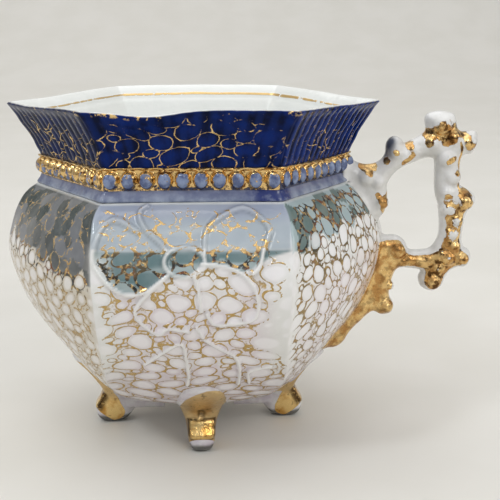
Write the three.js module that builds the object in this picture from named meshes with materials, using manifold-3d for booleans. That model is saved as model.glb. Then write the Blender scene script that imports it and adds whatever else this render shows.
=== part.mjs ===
// A footed porcelain shaving mug: a six-panelled bowl on four scroll feet, a plain neck moulding, a
// ring of beads, a flared hexagonal collar and a knobbed twig handle.
// Millimetres, +Z up, +X towards the handle, the feet stand on z = 0.

import * as THREE from 'three';
import { mergeVertices } from 'three/addons/utils/BufferGeometryUtils.js';
import Module from 'manifold-3d';

const wasm = await Module();
wasm.setup();

// Driving dimensions
const BOWL_AXIS_X = -12.4; // the bowl's axis; the whole mug with its handle is centred on x = 0
const GAP = 0.3; // clearance left where two formed pieces meet
const PANELS = 6;
const PANEL_STEPS = 6; // facets across one panel
const DROOP = 1.5; // how far the left and right corners sank in the kiln
const DROOP_FROM = 48; // the height above which they sank

const RIM_Z = 88.5;
const COLLAR_Z = 74.7; // underside of the collar
const BEAD_Z = 69.3; // underside of the bead band
const NECK_Z = 67.2; // top edge of the panels
const BASE_Z = 11; // underside of the bowl
const FLOOR_Z = 14.2; // the bowl's inside floor
const BORE_R = 37.9; // corner radius inside the neck

const BEADS_PER_PANEL = 10;
const BEAD_STEPS = 4; // facets along one bead
const BEAD_RING_R = 40.7; // corner radius of the bead band between its beads
const BEAD_RISE = 1.6; // how far a bead stands out

const FEET = ['right', 'back', 'left', 'front'];
const FOOT_HALF_WIDTH = 5.8; // at the top of the leaf
const FOOT_TOE_HALF_WIDTH = 3.3;
const FOOT_INSET = [0, 3.1]; // how much nearer the axis the back and front feet stand
const FOOT_TWIST = THREE.MathUtils.degToRad(2.5); // the feet were set a little round from the panels

const TWIG_SIDES = 8;
const KNOB_SEGMENTS = [10, 7];

// Half profiles of the bowl at a corner: [radius, height]
const BOWL_OUTSIDE = [
  [16, BASE_Z], [22.6, 12], [27.6, 13.9], [31.7, 16.7], [35.2, 20.2], [38.8, 24.7], [42.4, 29.6],
  [45.8, 35.2], [48.4, 41.8], [49.7, 47], [49.8, 50.6], [49.2, 54.4], [47.9, 58.9], [46.1, 62.6],
  [44.2, 65.3], [42, NECK_Z],
];
const BOWL_INSIDE = [
  [BORE_R, NECK_Z], [41.6, 63.2], [44.6, 58.4], [46.4, 53.2], [46.5, 48.6], [45.2, 42.6], [42.4, 36],
  [38.6, 30], [34, 24], [28.6, 18.9], [22, 15.4], [15, FLOOR_Z],
];

const porcelain = (name, colour, roughness = 0.16, metalness = 0) => {
  const material = new THREE.MeshStandardMaterial({ color: colour, roughness, metalness });
  material.name = name;
  return material;
};
const MATERIALS = {
  panels: porcelain('panels', 0xd9d3d6),
  moulding: porcelain('moulding', 0x9aa2cc),
  beads: porcelain('beads', 0x6f7ab4),
  cobalt: porcelain('cobalt', 0x1b2a7c, 0.12),
  gilt: porcelain('gilt', 0xc89437, 0.25, 0.9),
  twig: porcelain('twig', 0xe9e4da),
};

// How strongly the six panels show at a height: 1 is a hexagon, 0 is round
function panelSharpness(z) {
  return 0.55 + 0.45 * THREE.MathUtils.smoothstep(z, 50, NECK_Z);
}

// Radius of the section at an angle, over its radius at a corner
function sectionShare(angle, z) {
  const panel = (2 * Math.PI) / PANELS;
  const fromCentre = THREE.MathUtils.euclideanModulo(angle, panel) - panel / 2;
  const hexagon = Math.cos(panel / 2) / Math.cos(fromCentre);
  return hexagon ** panelSharpness(z);
}

// The kiln's droop at an angle and height
function droop(angle, z) {
  return DROOP * Math.abs(Math.cos(angle)) ** 3 * THREE.MathUtils.smoothstep(z, DROOP_FROM, RIM_Z - 6);
}

// Turns a closed profile of [radius, height] about +Z and presses it into the panelled section.
// relief adds to the radius at an angle and height, and is told the profile's own radius there.
function turned(profile, steps = PANELS * PANEL_STEPS, relief = () => 0) {
  const points = profile.map(([r, z]) => new THREE.Vector2(r, z));
  points.push(points[0].clone());
  const geometry = new THREE.LatheGeometry(points, steps);
  geometry.rotateX(Math.PI / 2);
  const place = geometry.attributes.position;
  for (let i = 0; i < place.count; i += 1) {
    const [x, y, z] = [place.getX(i), place.getY(i), place.getZ(i)];
    const angle = Math.round(Math.atan2(y, x) * 1e6) / 1e6;
    const r = Math.hypot(x, y) * sectionShare(angle, z) + relief(angle, z, Math.hypot(x, y));
    place.setXYZ(i, r * Math.cos(angle), r * Math.sin(angle), z - droop(angle, z));
  }
  return geometry;
}

function welded(geometry) {
  const bare = geometry.clone();
  bare.deleteAttribute('normal');
  bare.deleteAttribute('uv');
  return mergeVertices(bare, 1e-4);
}

function solid(geometry) {
  const bare = welded(geometry);
  return new wasm.Manifold(new wasm.Mesh({
    numProp: 3,
    vertProperties: new Float32Array(bare.attributes.position.array),
    triVerts: new Uint32Array(bare.index.array),
  }));
}

function geometryOf(manifold) {
  const { vertProperties, triVerts } = manifold.getMesh();
  const geometry = new THREE.BufferGeometry();
  geometry.setAttribute('position', new THREE.BufferAttribute(vertProperties, 3));
  geometry.setIndex(new THREE.BufferAttribute(triVerts, 1));
  geometry.computeVertexNormals();
  return geometry;
}

function bowl() {
  return turned([[0, BASE_Z], ...BOWL_OUTSIDE, ...BOWL_INSIDE, [0, FLOOR_Z]]);
}

// The sloping band between the panels and the beads
function neckMoulding() {
  const low = NECK_Z + GAP;
  const high = BEAD_Z - GAP / 2;
  return turned([[BORE_R, low], [41.6, low], [40.9, high], [BORE_R, high]]);
}

// A narrow ring whose outside swells into one bead after another
function beadBand() {
  const low = BEAD_Z + GAP / 2;
  const high = COLLAR_Z - GAP / 2;
  const middle = (low + high) / 2;
  const beads = PANELS * BEADS_PER_PANEL;
  const swell = (angle, z, radius) => {
    if (radius < BEAD_RING_R - 1) return 0;
    const along = Math.abs(Math.sin((angle * beads) / 2));
    const across = Math.sqrt(Math.max(0, 1 - ((z - middle) / (middle - low)) ** 2));
    return BEAD_RISE * along * across;
  };
  const outside = [0, 0.2, 0.5, 0.8, 1].map((t) => [BEAD_RING_R, THREE.MathUtils.lerp(low, high, t)]);
  return turned([[BORE_R, low], ...outside, [BORE_R, high]], beads * BEAD_STEPS, swell);
}

// The flared collar with its rounded rim
function collar() {
  const low = COLLAR_Z + GAP / 2;
  return turned([
    [BORE_R, low], [40.6, low], [41.6, 77.6], [43.2, 81], [45.3, 84.6], [47.2, 87.2], [47.9, RIM_Z - 0.5],
    [47.2, RIM_Z], [46.1, RIM_Z - 0.3], [43.2, 84.8], [40.6, 80.4], [38.6, 77],
  ]);
}

// One scroll foot, standing out along +X: a leaf laid up the bowl, a waist and a rounded toe
function footBlank() {
  const side = new THREE.Shape();
  side.moveTo(21, 0);
  side.lineTo(26, 0);
  side.absarc(26.4, 2.6, 2.6, -Math.PI / 2, 0.6, false);
  side.quadraticCurveTo(26.4, 7.2, 27.4, 9.4);
  side.bezierCurveTo(29.4, 12, 32.8, 14.8, 35.2, 18.8);
  side.lineTo(31, 20.4);
  side.lineTo(14, 14);
  side.lineTo(14.7, 6.4);
  side.quadraticCurveTo(18.6, 3.6, 19.4, 0.6);
  side.quadraticCurveTo(19.8, 0, 21, 0);
  const body = new THREE.ExtrudeGeometry(side, {
    depth: 2 * FOOT_HALF_WIDTH, bevelEnabled: false, curveSegments: 5,
  });
  body.rotateX(Math.PI / 2);
  body.translate(0, FOOT_HALF_WIDTH, 0);

  const face = new THREE.Shape();
  face.moveTo(-FOOT_TOE_HALF_WIDTH, -1);
  face.lineTo(FOOT_TOE_HALF_WIDTH, -1);
  face.bezierCurveTo(FOOT_TOE_HALF_WIDTH + 0.4, 5, 3.9, 8, FOOT_HALF_WIDTH, 13.4);
  face.bezierCurveTo(FOOT_HALF_WIDTH, 16.6, 3.4, 18.7, 0, 18.9);
  face.bezierCurveTo(-3.4, 18.7, -FOOT_HALF_WIDTH, 16.6, -FOOT_HALF_WIDTH, 13.4);
  face.bezierCurveTo(-3.9, 8, -FOOT_TOE_HALF_WIDTH - 0.4, 5, -FOOT_TOE_HALF_WIDTH, -1);
  const reach = 40;
  const front = new THREE.ExtrudeGeometry(face, { depth: reach, bevelEnabled: false, curveSegments: 5 });
  front.rotateX(Math.PI / 2);
  front.rotateZ(Math.PI / 2);
  return solid(body).intersect(solid(front));
}

function footAt(quarterTurns, keepOut) {
  const placed = geometryOf(footBlank());
  placed.translate(-FOOT_INSET[quarterTurns % 2], 0, 0);
  placed.rotateZ((quarterTurns * Math.PI) / 2 + FOOT_TWIST);
  return geometryOf(solid(placed).subtract(keepOut));
}

// The space that the bowl, neck and bead band fill, grown by the clearance
function bodyKeepOut() {
  const grown = BOWL_OUTSIDE.map(([r, z]) => [r + GAP, z < 30 ? z - GAP : z]);
  const above = [[42.6, BEAD_Z], [BEAD_RING_R + BEAD_RISE + GAP, BEAD_Z], [BEAD_RING_R + BEAD_RISE + GAP, COLLAR_Z]];
  return solid(turned([[0, BASE_Z - GAP], ...grown, ...above, [0, COLLAR_Z]]));
}

// A stretch of twig through points [distance from the bowl's axis, height]
function twig(points, radius) {
  const path = new THREE.CatmullRomCurve3(points.map(([x, z]) => new THREE.Vector3(x, 0, z)), false, 'centripetal');
  const section = new THREE.Shape();
  section.absarc(0, 0, radius, 0, 2 * Math.PI, false);
  const steps = Math.max(2, Math.round(path.getLength() / (radius * 1.1)));
  return solid(new THREE.ExtrudeGeometry(section, {
    steps, extrudePath: path, curveSegments: TWIG_SIDES / 2, bevelEnabled: false,
  }));
}

function knob([x, z], radius, stretch = 1) {
  const ball = new THREE.SphereGeometry(radius, ...KNOB_SEGMENTS);
  ball.rotateX(Math.PI / 2);
  ball.scale(1, 1, stretch);
  ball.translate(x, 0, z);
  return solid(ball);
}

function handle(keepOut) {
  const limbs = [
    { through: [[41, 64.5], [46.6, 66.4], [52.4, 71.1], [58.4, 74.2], [64.4, 74.6]], radius: 3.5 },
    { through: [[44, 66], [47.4, 62.6], [48.8, 58.8]], radius: 2.5 },
    { through: [[64.4, 74.6], [66.4, 70], [67, 62], [68.2, 54], [67.8, 47], [66.6, 42.4]], radius: 3.5 },
    { through: [[67, 42.6], [61.2, 43.4], [55.4, 43.6], [48, 43.4]], radius: 2.1 },
    { through: [[53, 43.6], [51.2, 38.4], [50.1, 33.4], [45.6, 29.4], [40.8, 24.2], [36.8, 20.8]], radius: 2.2 },
  ];
  const knobs = [
    { at: [44.6, 66], radius: 4.6, stretch: 1.1 }, { at: [52.6, 74.6], radius: 3.1 },
    { at: [64.3, 79.8], radius: 3.9, stretch: 1.08 }, { at: [60.8, 76], radius: 3.7 },
    { at: [70.8, 75.9], radius: 3.3 }, { at: [66.2, 73], radius: 4.2 },
    { at: [71.6, 61], radius: 3 }, { at: [71.2, 44.2], radius: 2.6 },
    { at: [66.4, 43.4], radius: 3.8 }, { at: [63.8, 38.3], radius: 3.1 },
    { at: [52.2, 48], radius: 3 }, { at: [52.6, 43.2], radius: 3.2 }, { at: [50.6, 32.6], radius: 2.6 },
  ];
  const pieces = [
    ...limbs.map(({ through, radius }) => twig(through, radius)),
    ...knobs.map(({ at, radius, stretch }) => knob(at, radius, stretch)),
  ];
  return geometryOf(pieces.reduce((whole, piece) => whole.add(piece)).subtract(keepOut));
}

const mug = new THREE.Group();
mug.name = 'shaving_mug';
mug.position.x = BOWL_AXIS_X;

function add(name, geometry, material) {
  const mesh = new THREE.Mesh(geometry, material);
  mesh.name = name;
  mug.add(mesh);
}

const keepOut = bodyKeepOut();
add('bowl', welded(bowl()), MATERIALS.panels);
add('neck_moulding', welded(neckMoulding()), MATERIALS.moulding);
add('bead_band', welded(beadBand()), MATERIALS.beads);
add('collar', welded(collar()), MATERIALS.cobalt);
FEET.forEach((side, quarter) => add(`foot_${side}`, footAt(quarter, keepOut), MATERIALS.gilt));
add('handle', handle(keepOut), MATERIALS.twig);

const assembly = new THREE.Group();
assembly.add(mug);
assembly.updateMatrixWorld(true);
export default assembly;
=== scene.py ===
"""Looks of a footed porcelain shaving mug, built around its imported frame.

Shapes are worked out in millimetres about the bowl's own axis and moved into the frame, in metres,
when a mesh is made. Angles run round the mug from +X, where the handle is; the front panel is at -Y.
"""
import math

import bpy
import numpy as np
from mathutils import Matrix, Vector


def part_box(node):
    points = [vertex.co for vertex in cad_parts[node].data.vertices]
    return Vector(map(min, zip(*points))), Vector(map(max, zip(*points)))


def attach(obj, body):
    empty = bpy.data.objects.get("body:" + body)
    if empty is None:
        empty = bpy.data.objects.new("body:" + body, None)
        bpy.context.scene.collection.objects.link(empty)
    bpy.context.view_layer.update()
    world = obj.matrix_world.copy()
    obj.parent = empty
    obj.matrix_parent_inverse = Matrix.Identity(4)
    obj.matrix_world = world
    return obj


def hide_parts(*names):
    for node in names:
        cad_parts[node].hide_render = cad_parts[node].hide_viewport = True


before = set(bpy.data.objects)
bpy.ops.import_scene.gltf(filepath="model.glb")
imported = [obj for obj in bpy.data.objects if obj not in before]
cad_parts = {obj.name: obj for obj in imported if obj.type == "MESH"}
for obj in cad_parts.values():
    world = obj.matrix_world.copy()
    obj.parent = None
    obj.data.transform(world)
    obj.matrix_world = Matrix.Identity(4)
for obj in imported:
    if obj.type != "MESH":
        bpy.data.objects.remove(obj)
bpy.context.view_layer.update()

MM = 0.001
PANELS = 6
HALF_PANEL = math.pi / PANELS
FRONT = 4  # panels are counted round from +X; this one faces -Y
LEFT, RIGHT, BACK = 3, 5, 1


def frame_box(node):
    """A CAD node's lowest and highest corners in millimetres."""
    return [np.array(corner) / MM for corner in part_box(node)]


BOWL_BOX = frame_box("bowl")
AXIS = np.array([(BOWL_BOX[0][0] + BOWL_BOX[1][0]) / 2, 0, 0])
BASE_Z = BOWL_BOX[0][2]
NECK_Z = BOWL_BOX[1][2]
NECK_HEIGHT, BEAD_HEIGHT = 2.1, 5.4
BEAD_Z = NECK_Z + NECK_HEIGHT
COLLAR_Z = BEAD_Z + BEAD_HEIGHT
RIM_Z = frame_box("collar")[1][2]
DROOP = 1.5  # how far the left and right corners sank in the kiln
NECK_R = 41.4
BORE_R = 38.0
BOWL_CRISP, RING_CRISP = 70, 110  # sharpness of the corners, higher for sharper
FAR = 9.0  # a distance past everything that matters, in millimetres

# Half profiles at a corner: radius, height
BOWL_OUTSIDE = [
    (6, BASE_Z), (16, BASE_Z), (22.6, 12), (27.6, 13.9), (31.7, 16.7), (35.2, 20.2), (38.8, 24.7),
    (42.4, 29.6), (45.8, 35.2), (48.4, 41.8), (49.7, 47), (49.9, 50.6), (49.2, 54.4), (47.9, 58.9),
    (46.1, 62.6), (44.2, 65.3), (42.6, 66.7),
]
BOWL_RIM = [(41.9, NECK_Z), (40, NECK_Z + 0.1), (38.1, NECK_Z)]
BOWL_INSIDE = [
    (38.4, 66.4), (41.6, 63.2), (44.6, 58.4), (46.4, 53.2), (46.5, 48.6), (45.2, 42.6), (42.4, 36),
    (38.6, 30), (34, 24), (28.6, 18.9), (22, 15.4), (15, 14.2), (6, 14.2),
]
# How far the gilt bubbles of each panel are stretched sideways
BUBBLE_WIDEN = [1.1, 1.5, 1.1, 1.15, 1.5, 1.1]


# ---- curves and fields

def ramp(low, high, x):
    """0 up to low and 1 from high on, easing in between; low may be the larger."""
    t = np.clip((np.asarray(x, float) - low) / (high - low), 0, 1)
    return t * t * (3 - 2 * t)


def bell(x, width):
    """1 where x is 0, falling away over about width."""
    return np.exp(-((x / width) ** 2))


def curve(points, steps):
    """A Catmull-Rom curve through the points, as evenly spaced points."""
    p = np.array(points, float)
    p = np.vstack([2 * p[0] - p[1], p, 2 * p[-1] - p[-2]])
    t = np.linspace(0, 1, 16, endpoint=False)[:, None]
    stretches = [
        0.5 * (2 * b + (c - a) * t + (2 * a - 5 * b + 4 * c - d) * t**2 + (3 * b - a - 3 * c + d) * t**3)
        for a, b, c, d in zip(p, p[1:], p[2:], p[3:])
    ]
    dense = np.vstack([*stretches, p[-2:-1]])
    along = np.r_[0, np.cumsum(np.linalg.norm(np.diff(dense, axis=0), axis=1))]
    at = np.linspace(0, along[-1], steps)
    return np.stack([np.interp(at, along, dense[:, i]) for i in range(p.shape[1])], 1)


def near(points, line):
    """Distance from each point to a line of points."""
    best = np.full(len(points), np.inf)
    for a, b in zip(line, line[1:]):
        d = b - a
        t = np.clip(((points - a) @ d) / max(d @ d, 1e-12), 0, 1)
        best = np.minimum(best, np.linalg.norm(points - a - t[:, None] * d, axis=1))
    return best


def ripple(seed, *axes, scale=1.0):
    """Smooth noise from -1 to 1, as a sum of waves in seeded directions."""
    draw = np.random.default_rng(seed)
    total = 0.0
    for octave in range(5):
        direction = draw.normal(size=len(axes)) * (0.6 + 0.35 * octave) / scale
        wave = sum(d * a for d, a in zip(direction, axes)) + draw.uniform(0, 6.3)
        total = total + np.sin(wave) / (1 + 0.5 * octave)
    return total / 3.0


def panel_sharpness(z):
    """1 is a hexagon, 0 is round."""
    return 0.55 + 0.45 * ramp(50, NECK_Z, z)


def section_share(angle, z, crisp=BOWL_CRISP):
    """The section's radius at an angle, over its radius at a corner that isn't rounded."""
    normals = HALF_PANEL + 2 * HALF_PANEL * np.arange(PANELS // 2)
    facing = sum(np.abs(np.cos(angle - n)) ** crisp for n in normals) ** (1 / crisp)
    return (math.cos(HALF_PANEL) / facing) ** panel_sharpness(z)


def rib_turn(z):
    """How far the ribs between panels lean towards the front and back panels, in radians."""
    return np.radians(3.6 * bell(z - 48, 14) - 12 * ramp(36, 12, z))


def droop(angle, z):
    return DROOP * np.abs(np.cos(angle)) ** 3 * ramp(48, RIM_Z - 6, z)


def body_point(angle, r, z, crisp=BOWL_CRISP):
    """A point of the body from the angle it would have on a plain hexagon."""
    turned = angle + rib_turn(z) * np.sin(2 * angle) * ramp(NECK_Z + 1, 60, z)
    radius = r * section_share(angle, z, crisp)
    return np.stack([radius * np.cos(turned), radius * np.sin(turned), z - droop(turned, z)], -1)


# ---- meshes

def make_mesh(name, points, faces, masks):
    """A smooth-shaded object from points in millimetres about the bowl's axis."""
    mesh = bpy.data.meshes.new(name)
    mesh.from_pydata((points + AXIS) * MM, [], faces)
    mesh.validate()
    for mask, values in masks.items():
        kind, field = "FLOAT", "value"
        if values.ndim == 2:
            kind, field, values = "FLOAT_COLOR", "color", np.c_[values, np.ones(len(values))]
        attribute = mesh.attributes.new(mask, kind, "POINT")
        attribute.data.foreach_set(field, values.astype(np.float32).ravel())
    mesh.shade_smooth()
    piece = bpy.data.objects.new(name, mesh)
    bpy.context.scene.collection.objects.link(piece)
    return piece


def wrap_faces(rows, cols, closed):
    """Quads of a grid whose columns run round the mug, and whose rows may close too, facing out."""
    index = np.arange(rows * cols).reshape(rows, cols)
    low, high = (index, np.roll(index, -1, 0)) if closed else (index[:-1], index[1:])
    return np.stack([low, np.roll(low, -1, 1), np.roll(high, -1, 1), high], -1).reshape(-1, 4)


def grid_normals(points):
    """Outward normals of a grid whose columns run round."""
    across = np.roll(points, -1, 1) - np.roll(points, 1, 1)
    down = np.gradient(points, axis=0)
    normal = np.cross(across, down)
    return normal / np.maximum(np.linalg.norm(normal, axis=-1, keepdims=True), 1e-9)


def path_length(profile):
    return np.r_[0, np.cumsum(np.linalg.norm(np.diff(profile, axis=0), axis=1))]


BUBBLE_TRIES = 4500
MOST_BUBBLES = 2000  # on one panel, which keeps the bubbles' numbers apart


def pack_bubbles(seed, half_width, height, biggest, smallest):
    """Circles that nearly touch, large ones first: rows of across, along and radius."""
    draw = np.random.default_rng(seed)
    found = np.zeros((0, 3))
    for left in np.linspace(1, 0, BUBBLE_TRIES):
        at = draw.uniform([-half_width, 0], [half_width, height])
        room = biggest * draw.uniform(0.55, 1)
        if len(found):
            room = min(room, (np.hypot(*(found[:, :2] - at).T) - found[:, 2]).min())
        if room > smallest + (biggest - smallest) * 0.75 * left**2:
            found = np.vstack([found, [*at, room]])
    return found


def bubbles_at(across, along, bubbles, seed, widen):
    """For each place on a panel: the distance outside its nearest bubble, and that bubble's number."""
    lean = np.random.default_rng(seed).uniform(0, 6.3, 4)
    x = across / widen + 0.9 * np.sin(0.33 * along + lean[0])
    x = x + 0.18 * np.sin(0.9 * along + 0.5 * across + lean[1])
    y = along + 0.8 * np.sin(0.27 * across + lean[2])
    y = y + 0.15 * np.sin(0.8 * across - 0.6 * along + lean[3])
    gap, nearest = np.full(x.shape, FAR), np.zeros(x.shape, int)
    for i, (a, b, radius) in enumerate(bubbles):
        here = np.hypot(x - a, y - b) - radius
        closer = here < gap
        gap[closer], nearest[closer] = here[closer], i
    return gap, nearest


def foam(across, along, cols, seed, widen, biggest, smallest):
    """Bubbles over every panel of a grid: distance outside the nearest, its number and its tint."""
    gap, number = np.zeros(across.shape), np.zeros(across.shape, int)
    per_panel = cols // PANELS
    for p, stretch in enumerate(widen):
        here = slice(p * per_panel, (p + 1) * per_panel)
        reach = np.abs(across).max() / stretch + 1.5
        bubbles = pack_bubbles(seed + p, reach, along.max() + 1.5, biggest, smallest)
        gap[:, here], index = bubbles_at(across[:, here], along[:, here], bubbles, seed + p, stretch)
        number[:, here] = index + MOST_BUBBLES * p
    tint = np.random.default_rng(seed).random(MOST_BUBBLES * PANELS)[number]
    return np.clip(gap, -3, 1.5), number, tint


def cell_mean(values, number):
    """Each value replaced by the mean over its bubble."""
    flat, index = values.ravel(), number.ravel()
    total, count = np.bincount(index, flat), np.bincount(index)
    return (total / np.maximum(count, 1))[index].reshape(values.shape)


def surface_net(field, low, high, cell):
    """Quads on the zero level of field, inside the box from low to high."""
    low, high = np.array(low, float), np.array(high, float)
    counts = np.ceil((high - low) / cell).astype(int) + 1
    axes = [low[i] + cell * np.arange(counts[i]) for i in range(3)]
    grid = np.stack(np.meshgrid(*axes, indexing="ij"), -1)
    values = field(grid.reshape(-1, 3)).reshape(counts)
    inside = values < 0
    total, crossings = np.zeros((*(counts - 1), 3)), np.zeros(counts - 1)

    def corner(d):
        return values[tuple(slice(d[i], counts[i] - 1 + d[i]) for i in range(3))]

    for start in np.ndindex(2, 2, 2):
        for axis in range(3):
            if start[axis] == 0:
                end = tuple(v + (i == axis) for i, v in enumerate(start))
                a, b = corner(start), corner(end)
                cross = (a < 0) != (b < 0)
                share = np.where(cross, a / np.where(cross, a - b, 1), 0)
                at = np.array(start, float) + share[..., None] * (np.arange(3) == axis)
                total += at * cross[..., None]
                crossings += cross
    mixed = crossings > 0
    ids = np.full(mixed.shape, -1)
    ids[mixed] = np.arange(mixed.sum())
    cells = np.argwhere(mixed)
    points = low + cell * (cells + total[mixed] / crossings[mixed][:, None])
    faces = []
    step = np.eye(3, dtype=int)
    for axis in range(3):
        first = inside[tuple(slice(0, -1) if i == axis else slice(1, -1) for i in range(3))]
        second = inside[tuple(slice(1, None) if i == axis else slice(1, -1) for i in range(3))]
        edge = np.argwhere(first != second)
        flip = first[tuple(edge.T)]
        edge = edge + (np.arange(3) != axis)
        a, b = step[(axis + 1) % 3], step[(axis + 2) % 3]
        quad = np.stack([ids[tuple((edge - d).T)] for d in (0 * a, a, a + b, b)], 1)
        faces.append(np.where(flip[:, None], quad, quad[:, ::-1]))
    faces = np.vstack(faces)
    return settle(points, field), faces


def settle(points, field, rounds=3):
    """Moves points onto the field's zero level."""
    h = 0.05
    for _ in range(rounds):
        slope = np.stack([(field(points + h * e) - field(points - h * e)) / (2 * h) for e in np.eye(3)], 1)
        step = field(points) / np.maximum((slope**2).sum(1), 0.15)
        points = points - np.clip(step, -0.4, 0.4)[:, None] * slope
    return points


def soft_min(a, b, k):
    h = np.clip(0.5 + 0.5 * (b - a) / k, 0, 1)
    return b + (a - b) * h - k * h * (1 - h)


def soft_max(a, b, k):
    return -soft_min(-a, -b, k)


WALL = curve(BOWL_OUTSIDE, 200)[8:]  # the bowl's outside, less the middle of its flat underside


def body_field(p):
    """Roughly the distance outside the body's wall, below the collar."""
    x, y, z = p.T
    angle = np.arctan2(y, x)
    level = z + droop(angle, z)
    r = np.where(level > NECK_Z, NECK_R, np.interp(level, WALL[:, 1], WALL[:, 0], left=0))
    plain = angle - rib_turn(level) * np.sin(2 * angle)
    return np.maximum((np.hypot(x, y) - r * section_share(plain, level)) * 0.85, BASE_Z - z)


# ---- material helpers

class Paint:
    """A material with one Principled shader, and short ways to add the nodes that feed it."""

    def __init__(self, name, ior=1.5):
        self.material = bpy.data.materials.new(name)
        self.material.use_nodes = True
        self.tree = self.material.node_tree
        self.shader = self.tree.nodes["Principled BSDF"]
        self.set(IOR=ior)
        coordinates = self.node("ShaderNodeTexCoord", {}).outputs["Object"]
        in_mm = self.node("ShaderNodeVectorMath", {0: coordinates, 3: 1 / MM}, operation="SCALE")
        self.place = in_mm.outputs[0]

    def node(self, kind, inputs, **settings):
        node = self.tree.nodes.new(kind)
        for setting, value in settings.items():
            setattr(node, setting, value)
        for socket, value in inputs.items():
            self.feed(node.inputs[socket], value)
        return node

    def feed(self, socket, value):
        if isinstance(value, bpy.types.NodeSocket):
            self.tree.links.new(value, socket)
        elif socket.type == "RGBA":
            socket.default_value = (*value, 1)
        else:
            socket.default_value = value

    def set(self, **sockets):
        for socket, value in sockets.items():
            self.feed(self.shader.inputs[socket.replace("_", " ")], value)

    def mask(self, name, output="Fac"):
        """One of the values that the mesh carries at its points."""
        return self.node("ShaderNodeAttribute", {}, attribute_name=name).outputs[output]

    def noise(self, scale, detail=3.0, rough=0.55):
        """Smooth noise, scale waves to the millimetre."""
        inputs = {"Vector": self.place, "Scale": scale, "Detail": detail, "Roughness": rough}
        return self.node("ShaderNodeTexNoise", inputs).outputs["Fac"]

    def math(self, operation, a, b=0.0, clamp=False):
        return self.node("ShaderNodeMath", {0: a, 1: b}, operation=operation, use_clamp=clamp).outputs[0]

    def times(self, a, b, clamp=False):
        return self.math("MULTIPLY", a, b, clamp)

    def plus(self, a, b):
        return self.math("ADD", a, b)

    def step(self, value, low, high, to_low=0.0, to_high=1.0):
        """value taken smoothly from low..high to to_low..to_high."""
        return self.node(
            "ShaderNodeMapRange",
            {"Value": value, "From Min": low, "From Max": high, "To Min": to_low, "To Max": to_high},
            interpolation_type="SMOOTHSTEP",
        ).outputs["Result"]

    def mix(self, share, a, b, kind="MIX"):
        node = self.node("ShaderNodeMix", {0: share, 6: a, 7: b}, data_type="RGBA", blend_type=kind)
        return node.outputs[2]

    def blend(self, share, a, b):
        """A number between a and b."""
        return self.node("ShaderNodeMix", {0: share, 2: a, 3: b}, data_type="FLOAT").outputs[0]

    def cloud(self, scale, dark, pale, low=0.3, high=0.7, detail=4.0):
        """A colour that drifts between dark and pale."""
        return self.mix(self.step(self.noise(scale, detail), low, high), dark, pale)

    def gild(self, gold, glaze, metal, rough_metal, rough_glaze=0.08, metallic=0.92):
        """Glaze, with metal over it where gold is 1."""
        self.set(
            Base_Color=self.mix(gold, glaze, metal),
            Metallic=self.times(gold, metallic),
            Roughness=self.blend(gold, rough_glaze, rough_metal),
        )

    def bump(self, height, depth):
        """Raises the surface by height times depth millimetres."""
        node = self.node("ShaderNodeBump", {"Height": height, "Distance": depth * MM, "Strength": 1.0})
        self.tree.links.new(node.outputs[0], self.shader.inputs["Normal"])


def gold_colour(paint):
    """Burnished gold, redder and duller in patches."""
    return paint.mix(paint.noise(0.45), (0.64, 0.38, 0.12), (0.93, 0.69, 0.33))


def inside_white(paint):
    """The plain white glaze of the mug's inside."""
    return paint.mix(paint.noise(0.15, 3.0), (0.74, 0.76, 0.72), (0.82, 0.82, 0.79))


def wobbled_width(paint, low, high):
    """A brush line's half width in millimetres, wandering from low to high."""
    return paint.step(paint.noise(0.4, 2.0), 0.32, 0.68, low, high)


def ring_line(paint, gap, width):
    """1 on the outline of each bubble, 0 away from it."""
    off = paint.math("SUBTRACT", paint.math("ABSOLUTE", gap), width)
    return paint.math("SUBTRACT", 1.0, paint.step(off, -0.04, 0.07))


def brush_shake(paint, gap, scale, reach):
    """The distance outside the bubbles, shaken like a brush line."""
    return paint.plus(gap, paint.times(paint.math("SUBTRACT", paint.noise(scale, 2.0), 0.5), reach))


def worn_gold(paint, patch, lines):
    """1 where the bubbles' gilt outlines haven't worn away."""
    return paint.step(paint.plus(patch, paint.times(lines, 0.42)), 0.66, 0.76)


# ---- bowl

# Ridges of the raised flower: place across the panel from -1 to 1, height
FLOWER = {
    "left_petal": [(-0.57, 61.4), (-0.8, 64), (-0.92, 62), (-0.98, 56), (-0.91, 52), (-0.72, 48.4),
                   (-0.5, 48.8), (-0.25, 52.6)],
    "top_fold": [(-0.51, 66.6), (-0.58, 65.2), (-0.5, 62), (-0.33, 59), (-0.27, 57.4)],
    "right_petal": [(0.13, 56.8), (0.15, 61.5), (0.32, 64.3), (0.6, 65.9), (0.8, 62), (0.74, 58.4),
                    (0.69, 54.1), (0.62, 52.5)],
    "low_right_petal": [(0.1, 54.7), (0.3, 54.3), (0.51, 52.6), (0.65, 48.6), (0.68, 44.2), (0.62, 41.6),
                        (0.4, 40.8), (0.22, 40.8), (0.15, 43.5)],
    "stalk": [(0.02, 52.4), (0.06, 49.5), (0.09, 44.2)],
    "low_left_petal": [(-0.25, 52.6), (-0.46, 48.6), (-0.6, 44.6), (-0.55, 41.2), (-0.37, 38.1),
                       (-0.28, 39.8), (-0.05, 38.9)],
    "right_leaf": [(0.04, 40), (0.12, 36.8), (0.3, 33.8), (0.45, 31.2), (0.48, 26.9), (0.46, 22.3)],
    "left_leaf": [(-0.54, 29.3), (-0.34, 33.2), (-0.14, 35.7), (-0.09, 31.5), (-0.07, 26), (-0.09, 22.5)],
    "right_sprig": [(0.58, 22.4), (0.57, 26), (0.66, 27), (0.82, 27.5)],
}
FLOWER_HALF_WIDTH = 24.0  # millimetres that the flower's -1 to 1 stands for
BOSS = np.array([-0.08, 55.2])
BOSS_SIZE = np.array([0.215, 3.1])
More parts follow.
